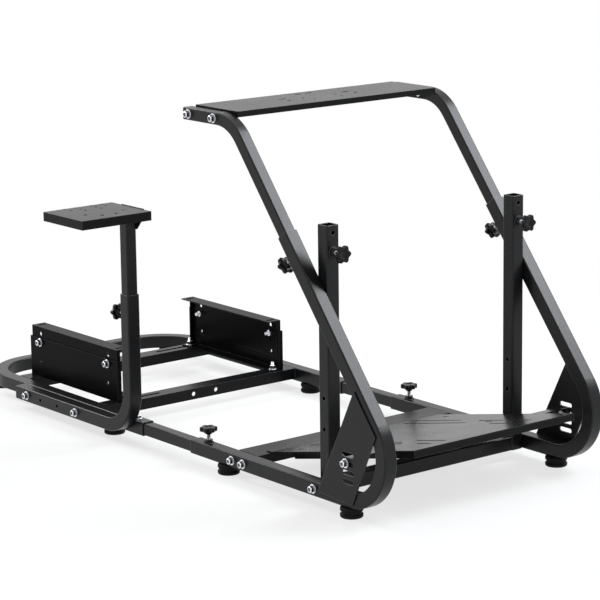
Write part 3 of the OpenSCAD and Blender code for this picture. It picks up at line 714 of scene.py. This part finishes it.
def knob_seats():
    """Each knob's node, its body, the body that carries its nut, its place and its way."""
    knob = bpy.context.scene.cockpit_knobs
    tall = WELD_NUT + (knob.neck + knob.head) / MM
    seats = []
    for node, body, carrier, direction in KNOBS:
        low, high = (Vector(corner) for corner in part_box(node))
        way = Vector(direction)
        if direction is SLANT:
            place = slanted_seat(low, high, way)
        else:
            place = (low + high) / 2 + way * (STEM_REACH - tall) / 2 * MM
        seats.append((node, body, carrier, place, way))
    return seats


def slanted_seat(low, high, way):
    """The place of a knob whose stem slants, from its node's box."""
    x = high.x + (way.x * STEM_REACH - HALF_STEM * abs(way.z)) * MM
    z = high.z + (way.z * STEM_REACH - HALF_STEM * abs(way.x)) * MM
    return Vector((x, (low.y + high.y) / 2, z))


# Sizes and colours

class CockpitFinish(bpy.types.PropertyGroup):
    coat: bpy.props.FloatVectorProperty(
        name="Coat colour", description="Powder coat on the tubes and the sheet", subtype="COLOR",
        size=3, min=0.0, max=1.0, default=(0.0066, 0.0068, 0.0076))
    coat_roughness: bpy.props.FloatProperty(
        name="Coat roughness", description="Roughness of the powder coat", min=0.05, max=1.0,
        default=0.29, subtype="FACTOR")
    coat_gloss: bpy.props.FloatProperty(
        name="Coat gloss", description="How strongly the powder coat mirrors its surroundings",
        min=0.0, max=1.0, default=0.2, subtype="FACTOR")
    plated: bpy.props.FloatVectorProperty(
        name="Bolt colour", description="Zinc plate on the bolts", subtype="COLOR",
        size=3, min=0.0, max=1.0, default=(0.87, 0.88, 0.9))
    plastic: bpy.props.FloatVectorProperty(
        name="Knob colour", description="Plastic of the star knobs", subtype="COLOR",
        size=3, min=0.0, max=1.0, default=(0.0038, 0.0038, 0.0041))
    rubber: bpy.props.FloatVectorProperty(
        name="Foot colour", description="Rubber of the feet", subtype="COLOR",
        size=3, min=0.0, max=1.0, default=(0.0045, 0.0045, 0.0048))
    edge: bpy.props.FloatProperty(
        name="Edge radius", description="Rounding that the coat gives to a cut edge", min=0.0,
        max=0.005, default=0.0022, subtype="DISTANCE")


class CockpitFasteners(bpy.types.PropertyGroup):
    shank: bpy.props.FloatProperty(
        name="Shank", description="Diameter of a bolt", min=0.005, max=0.010, default=0.008,
        subtype="DISTANCE", precision=4)
    across: bpy.props.FloatProperty(
        name="Across flats", description="Width of the hexagon over its flats", min=0.008,
        max=0.016, default=0.0128, subtype="DISTANCE", precision=4)
    washer: bpy.props.FloatProperty(
        name="Washer", description="Diameter of a washer", min=0.012, max=0.024, default=0.0192,
        subtype="DISTANCE", precision=4)


class CockpitKnobs(bpy.types.PropertyGroup):
    diameter: bpy.props.FloatProperty(
        name="Diameter", description="Width over the lobes", min=0.030, max=0.042,
        default=0.037, subtype="DISTANCE", precision=4)
    head: bpy.props.FloatProperty(
        name="Head height", description="Height of the head", min=0.008, max=0.016,
        default=0.012, subtype="DISTANCE", precision=4)
    neck: bpy.props.FloatProperty(
        name="Neck", description="Length of the neck", min=0.010, max=0.020, default=0.015,
        subtype="DISTANCE", precision=4)
    lobes: bpy.props.IntProperty(
        name="Lobes", description="Number of lobes on the star", min=5, max=8, default=6)


class CockpitStudio(bpy.types.PropertyGroup):
    floor: bpy.props.FloatVectorProperty(
        name="Floor colour", description="Colour of the floor", subtype="COLOR", size=3, min=0.0,
        max=1.0, default=(0.86, 0.86, 0.86))
    white: bpy.props.FloatProperty(
        name="Floor white", description="Share of plain white that the camera sees on the floor",
        min=0.0, max=1.0, default=0.72, subtype="FACTOR")
    fill: bpy.props.FloatProperty(
        name="Room light", description="Even light from all round", min=0.0, max=2.0, default=0.33)
    key: bpy.props.FloatProperty(
        name="Key light", description="Power of the soft box behind and above", unit="POWER",
        min=0.0, max=500.0, default=230.0)
    top: bpy.props.FloatProperty(
        name="Top light", description="Power of the large soft box overhead", unit="POWER",
        min=0.0, max=500.0, default=25.0)
    front: bpy.props.FloatProperty(
        name="Front light", description="Power of the low soft box beside the camera", unit="POWER",
        min=0.0, max=500.0, default=28.0)
    rim: bpy.props.FloatProperty(
        name="Edge light", description="Power of the soft box behind the seat end", unit="POWER",
        min=0.0, max=500.0, default=55.0)
    lens: bpy.props.FloatProperty(
        name="Lens", description="Focal length on a 36 mm frame", unit="CAMERA", min=20.0,
        max=300.0, default=151.2)


# Pieces

MATERIALS = {}


class COCKPIT_OT_finish(bpy.types.Operator):
    """Make the finishes and coat the tubes and the sheet parts"""
    bl_idname = "cockpit.finish"
    bl_label = "Powder coat"

    def execute(self, context):
        finish = context.scene.cockpit_finish
        self.coats(finish)
        plated = tuple(finish.plated)
        MATERIALS["zinc"] = zinc("zinc_steel", plated)
        # Zinc painted dark for the hex sides and plain thread ends: painted shade.
        MATERIALS["flats"] = zinc("zinc_steel_flats", rgb(plated, 0.13))
        # Zinc painted darker for the knob stems: painted shade in the thread.
        MATERIALS["stem"] = zinc("zinc_steel_thread", rgb(plated, 0.3))
        MATERIALS["plastic"] = moulded("knob_plastic", tuple(finish.plastic), grain_scale=1800.0,
                                       roughness=0.24, strength=0.05, specular=0.18)
        MATERIALS["rubber"] = moulded("foot_rubber", tuple(finish.rubber), grain_scale=1200.0,
                                      roughness=0.6, strength=0.2, specular=0.12)
        coated = {"tube": TUBE_NODES, "sheet": SHEET_NODES, "bracket": BRACKET_NODES}
        for key, names in coated.items():
            for name in names:
                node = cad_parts[name]
                if not node.material_slots:
                    raise RuntimeError(name + " has no material slot")
                for slot in node.material_slots:
                    slot.material = MATERIALS[key]
        return {"FINISHED"}

    @staticmethod
    def coats(finish):
        """The same powder coat on tube, on sheet and on the seat brackets; the sheet and bracket
        copies are painted darker, as painted shade, and have less gloss.
        """
        colour = tuple(finish.coat)
        sheet_roughness = finish.coat_roughness - 0.03
        sheet_edge = finish.edge * 0.6
        MATERIALS["tube"] = powder_coat(
            "coated_tube", colour, peel=900.0, roughness=finish.coat_roughness,
            specular=finish.coat_gloss, edge_radius=finish.edge, edge_wear_and_highlight=11.0)
        # Sheet coat painted darker than the tube coat: painted shade.
        MATERIALS["sheet"] = powder_coat(
            "coated_sheet", rgb(colour, 0.62), peel=1300.0, roughness=sheet_roughness,
            specular=finish.coat_gloss * 0.45, edge_radius=sheet_edge, edge_wear_and_highlight=4.0)
        # Bracket coat painted darker still: painted shade.
        MATERIALS["bracket"] = powder_coat(
            "coated_bracket", rgb(colour, 0.3), peel=1300.0, roughness=sheet_roughness,
            specular=finish.coat_gloss * 0.12, edge_radius=sheet_edge, edge_wear_and_highlight=3.0)


class COCKPIT_OT_fasteners(bpy.types.Operator):
    """Make the hex bolts, washers and nuts"""
    bl_idname = "cockpit.fasteners"
    bl_label = "Fasteners"

    def execute(self, context):
        for node, body, bolts in (
                ("front_frame_bolts", "front_frame", front_frame_bolts()),
                ("seat_base_bolts", "seat_base", seat_base_bolts()),
                ("bracket_bolts", "seat_base", bracket_bolts()),
                ("shifter_bolts", "shifter_stand", shifter_bolts()),
                ("wheel_plate_bolts", "wheel_mount", wheel_plate_bolts())):
            mesh = bmesh.new()
            for bolt in bolts:
                hex_bolt(mesh, **bolt)
            piece = make_object(node + "_detail", mesh, MATERIALS["zinc"], 28.0)
            # Second slot: the dark zinc of painted shade.
            piece.data.materials.append(MATERIALS["flats"])
            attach(piece, body)
            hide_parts(node)
        return {"FINISHED"}


class COCKPIT_OT_knobs(bpy.types.Operator):
    """Make the seven star knobs"""
    bl_idname = "cockpit.knobs"
    bl_label = "Star knobs"

    def execute(self, context):
        for node, body, _, place, way in knob_seats():
            star_knob(node, body, place, way)
        return {"FINISHED"}


class COCKPIT_OT_feet(bpy.types.Operator):
    """Make the rubber feet"""
    bl_idname = "cockpit.feet"
    bl_label = "Rubber feet"

    def execute(self, context):
        for node, body, rear_axis in (("front_frame_feet", "front_frame", RAIL_AXIS),
                                      ("seat_base_feet", "seat_base", CORNER_AXIS)):
            mesh = bmesh.new()
            low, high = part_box(node)
            rear = low[0] / MM + FOOT_RADIUS
            fore = high[0] / MM - FOOT_RADIUS
            for x, axis in ((rear, rear_axis), (fore, RAIL_AXIS)):
                for side in (-1, 1):
                    rubber_foot(mesh, row(x, side * axis, 0.0))
            piece = make_object(node + "_detail", mesh, MATERIALS["rubber"], 32.0)
            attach(piece, body)
            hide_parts(node)
        return {"FINISHED"}


class COCKPIT_OT_welds(bpy.types.Operator):
    """Run the weld beads where the tubes and plates are joined"""
    bl_idname = "cockpit.welds"
    bl_label = "Welds"

    def execute(self, context):
        meshes = {"front_frame": bmesh.new(), "seat_base": bmesh.new()}
        self.channel_beads(meshes["seat_base"])
        self.cross_tube_beads(meshes["front_frame"])
        for _, _, carrier, place, way in knob_seats():
            weld_ring(meshes[carrier], place, way, WELD_NUT_WIDTH / 2, NUT_BEAD)
        for body, mesh in meshes.items():
            piece = make_object(body + "_welds", mesh, MATERIALS["tube"], 60.0)
            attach(piece, body)
        return {"FINISHED"}

    @staticmethod
    def channel_beads(mesh):
        """Upright beads where the seat channels meet the inner sides of the tubes."""
        bottom = RAIL_HEIGHT - 8
        top = RAIL_TOP - 2
        for name in ("rear_seat_channel", "front_seat_channel"):
            low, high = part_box(name)
            for side in (-1, 1):
                y = side * (HALF_WIDTH - TUBE) + SIDE_SHIFT
                for x in (low[0] / MM, high[0] / MM):
                    weld_bead(mesh, (x, y, bottom), (x, y, top), CHANNEL_BEAD)

    @staticmethod
    def cross_tube_beads(mesh):
        """Beads over the top and down the sides of the cross tube's two ends."""
        low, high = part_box("front_cross_tube")
        rear = low[0] / MM
        fore = high[0] / MM
        for y in (low[1] / MM, high[1] / MM):
            weld_bead(mesh, (rear + 1, y, RAIL_TOP), (fore - 1, y, RAIL_TOP), CROSS_BEAD)
            for x in (rear, fore):
                weld_bead(mesh, (x, y, RAIL_TOP - TUBE + 2), (x, y, RAIL_TOP - 1), CROSS_BEAD)


class COCKPIT_OT_stage(bpy.types.Operator):
    """Set up the floor, the lights, the world and the camera"""
    bl_idname = "cockpit.stage"
    bl_label = "Studio"

    def execute(self, context):
        scene = context.scene
        studio = scene.cockpit_studio
        scene.view_settings.view_transform = "Standard"
        self.floor(studio)
        self.world(scene, studio)
        for name, place, target, size, power, colour in SOFT_BOXES:
            self.soft_box(scene, name, place, target, size, getattr(studio, power), colour)
        self.camera(scene, studio)
        return {"FINISHED"}

    @staticmethod
    def floor(studio):
        mesh = bmesh.new()
        corners = [mesh.verts.new((x * FLOOR_REACH, y * FLOOR_REACH, 0.0))
                   for x, y in ((-1, -1), (1, -1), (1, 1), (-1, 1))]
        mesh.faces.new(corners)
        paper = seen_white("floor_paper", tuple(studio.floor), studio.white)
        ground = make_object("floor", mesh, paper)

    @staticmethod
    def world(scene, studio):
        """Plain white behind the cockpit, and a dimmer room that lights it."""
        scene.world = bpy.data.worlds.new("studio")
        scene.world.use_nodes = True
        tree = NodeTree(scene.world.node_tree, "ShaderNodeOutputWorld")
        room = tree.node("ShaderNodeBackground", {},
                         {"Color": rgb(ROOM_COLOUR), "Strength": studio.fill})
        white = tree.node("ShaderNodeBackground", {}, {"Color": rgb(WHITE), "Strength": 1.0})
        tree.finish(tree.blend(tree.seen(), room, white))

    @staticmethod
    def soft_box(scene, name, place, target, size, power, colour):
        data = bpy.data.lights.new(name, "AREA")
        data.color = colour
        data.shape = "SQUARE"
        data.size = size
        data.energy = power
        lamp = bpy.data.objects.new(name, data)
        lamp.matrix_world = Matrix.Translation(place) @ aim(Vector(place) - Vector(target))
        scene.collection.objects.link(lamp)

    @staticmethod
    def camera(scene, studio):
        data = bpy.data.cameras.new("camera")
        data.sensor_width = SENSOR_WIDTH
        data.lens = studio.lens
        data.clip_end = 50.0
        camera = bpy.data.objects.new("camera", data)
        turn = Matrix((CAMERA_RIGHT, CAMERA_UP, CAMERA_BACK)).transposed().to_4x4()
        camera.matrix_world = Matrix.Translation(CAMERA_PLACE) @ turn
        scene.collection.objects.link(camera)
        scene.camera = camera


class COCKPIT_PT_panel(bpy.types.Panel):
    """The cockpit's settings and the buttons that make its pieces"""
    bl_idname = "COCKPIT_PT_panel"
    bl_label = "Cockpit"
    bl_space_type = "VIEW_3D"
    bl_region_type = "UI"
    bl_category = "Cockpit"

    def draw(self, context):
        layout = self.layout
        for group in GROUPS:
            settings = getattr(context.scene, group)
            box = layout.box()
            for name in settings.__annotations__:
                box.prop(settings, name)
        for operator in OPERATORS:
            layout.operator(operator.bl_idname)


GROUPS = {
    "cockpit_finish": CockpitFinish,
    "cockpit_fasteners": CockpitFasteners,
    "cockpit_knobs": CockpitKnobs,
    "cockpit_studio": CockpitStudio,
}
OPERATORS = (COCKPIT_OT_finish, COCKPIT_OT_fasteners, COCKPIT_OT_knobs, COCKPIT_OT_feet,
             COCKPIT_OT_welds, COCKPIT_OT_stage)


def register():
    for kind in (*GROUPS.values(), *OPERATORS, COCKPIT_PT_panel):
        bpy.utils.register_class(kind)
    for name, kind in GROUPS.items():
        setattr(bpy.types.Scene, name, bpy.props.PointerProperty(type=kind))


def unregister():
    for name in GROUPS:
        delattr(bpy.types.Scene, name)
    for kind in (COCKPIT_PT_panel, *reversed(OPERATORS), *reversed(GROUPS.values())):
        bpy.utils.unregister_class(kind)


def main():
    register()
    for operator in OPERATORS:
        group, name = operator.bl_idname.split(".")
        getattr(getattr(bpy.ops, group), name)()
    bpy.context.view_layer.update()


if __name__ == "__main__":
    main()
